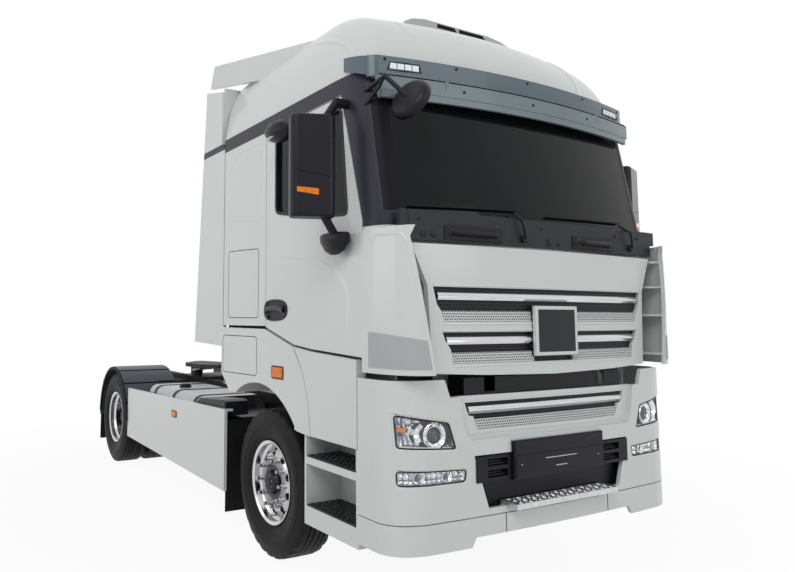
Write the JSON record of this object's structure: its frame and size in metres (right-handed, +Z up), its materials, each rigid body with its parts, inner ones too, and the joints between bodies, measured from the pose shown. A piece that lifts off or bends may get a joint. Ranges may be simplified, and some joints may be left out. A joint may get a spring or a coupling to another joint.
{
  "type": "semi truck tractor unit",
  "caption": "Cab-over tractor unit with high-roof tilting sleeper cab, opening doors, lid and hatch, steered front wheels, twin rear wheels and a rocking coupling plate.",
  "frame": {"origin": "on the ground at the middle of the overall length and width", "axes": "+X to the vehicle's left, -Y forwards, +Z up"},
  "size_m": [3.2452, 6.582, 4.0448],
  "materials": {
    "body_white": "satin clear-coated pale grey white",
    "visor_grey": "slate grey paint",
    "frame_black": "black chassis paint",
    "black_plastic": "grained black plastic",
    "cowl_grey": "dark grey moulded plastic",
    "guard_grey": "dark blue-grey moulded plastic",
    "tank_alloy": "brushed sheet",
    "rim_alloy": "polished forging",
    "tyre_black": "rubber",
    "flap_rubber": "rubber sheet",
    "cast_steel": "painted casting",
    "screen_glass": "tinted safety glass",
    "lamp_clear": "clear lamp lens over reflector",
    "lamp_red": "red lens",
    "seat_cloth": "dark seat cloth",
    "dash_plastic": "grained dash plastic"
  },
  "bodies": {
    "chassis": {"frame": "frame_black", "powertrain": "cast_steel", "radiator": "frame_black", "front_axle": "frame_black", "rear_axle": "frame_black", "front_springs": "frame_black", "rear_springs": "frame_black", "fuel_tank": "tank_alloy", "service_boxes": "black_plastic", "side_fairings": "body_white", "bumper": "body_white", "front_lip": "body_white", "front_lamps": "lamp_clear", "bumper_grille": "black_plastic", "step_boxes": "body_white", "front_fenders": "body_white", "rear_fenders": "guard_grey", "mudflaps": "flap_rubber", "coupling_base": "frame_black", "deck": "frame_black", "tail_lamps": "lamp_red"},
    "coupling": {"coupling_plate": "cast_steel"},
    "cab": {"cab_shell": "body_white", "roof": "body_white", "windshield": "screen_glass", "visor": "visor_grey", "cowl": "cowl_grey", "air_guides": "body_white", "roof_wedge": "body_white", "side_guards": "body_white", "seats": "seat_cloth", "dashboard": "dash_plastic", "kerb_mirror": "black_plastic"},
    "hatch": {"roof_hatch": "body_white"},
    "right_door": {"door_r": "body_white", "door_glass_r": "screen_glass", "mirror_r": "black_plastic"},
    "left_door": {"door_l": "body_white", "door_glass_l": "screen_glass", "mirror_l": "black_plastic"},
    "lid": {"front_lid": "body_white", "grille": "black_plastic"},
    "right_knuckle": {"knuckle_r": "cast_steel"},
    "left_knuckle": {"knuckle_l": "cast_steel"},
    "right_front_wheel": {"wheel_front_r": "rim_alloy", "tyre_front_r": "tyre_black"},
    "left_front_wheel": {"wheel_front_l": "rim_alloy", "tyre_front_l": "tyre_black"},
    "right_rear_wheel": {"wheel_rear_r": "rim_alloy", "tyre_rear_r": "tyre_black"},
    "left_rear_wheel": {"wheel_rear_l": "rim_alloy", "tyre_rear_l": "tyre_black"}
  },
  "joints": [
    {"name": "cab_tilt", "type": "hinge", "parent": "chassis", "child": "cab", "pos_m": [0, -3.079, 0.9], "axis": [1, 0, 0], "range_deg": [0, 55]},
    {"name": "right_door_hinge", "type": "hinge", "parent": "cab", "child": "right_door", "pos_m": [-1.22, -2.864, 2], "axis": [0, 0, 1], "range_deg": [0, 75]},
    {"name": "left_door_hinge", "type": "hinge", "parent": "cab", "child": "left_door", "pos_m": [1.22, -2.864, 2], "axis": [0, 0, -1], "range_deg": [0, 75]},
    {"name": "lid_hinge", "type": "hinge", "parent": "cab", "child": "lid", "pos_m": [0, -3.191, 2.15], "axis": [-1, 0, 0], "range_deg": [0, 80]},
    {"name": "hatch_hinge", "type": "hinge", "parent": "cab", "child": "hatch", "pos_m": [0, -2.029, 3.858], "axis": [-1, 0, 0], "range_deg": [0, 35]},
    {"name": "coupling_rock", "type": "hinge", "parent": "chassis", "child": "coupling", "pos_m": [0, 1.821, 1.105], "axis": [1, 0, 0], "range_deg": [-12, 12]},
    {"name": "right_steer", "type": "hinge", "parent": "chassis", "child": "right_knuckle", "pos_m": [-0.88, -1.559, 0.53], "axis": [0, 0, 1], "range_deg": [-40, 40]},
    {"name": "left_steer", "type": "hinge", "parent": "chassis", "child": "left_knuckle", "pos_m": [0.88, -1.559, 0.53], "axis": [0, 0, 1], "range_deg": [-40, 40]},
    {"name": "right_front_roll", "type": "hinge", "parent": "right_knuckle", "child": "right_front_wheel", "pos_m": [-1.02, -1.559, 0.53], "axis": [1, 0, 0], "continuous": true},
    {"name": "left_front_roll", "type": "hinge", "parent": "left_knuckle", "child": "left_front_wheel", "pos_m": [1.02, -1.559, 0.53], "axis": [1, 0, 0], "continuous": true},
    {"name": "right_rear_roll", "type": "hinge", "parent": "chassis", "child": "right_rear_wheel", "pos_m": [-1.075, 2.441, 0.53], "axis": [1, 0, 0], "continuous": true},
    {"name": "left_rear_roll", "type": "hinge", "parent": "chassis", "child": "left_rear_wheel", "pos_m": [1.075, 2.441, 0.53], "axis": [1, 0, 0], "continuous": true}
  ],
  "couplings": [
    {"joint": "left_steer", "follows": "right_steer", "ratio": 1}
  ]
}
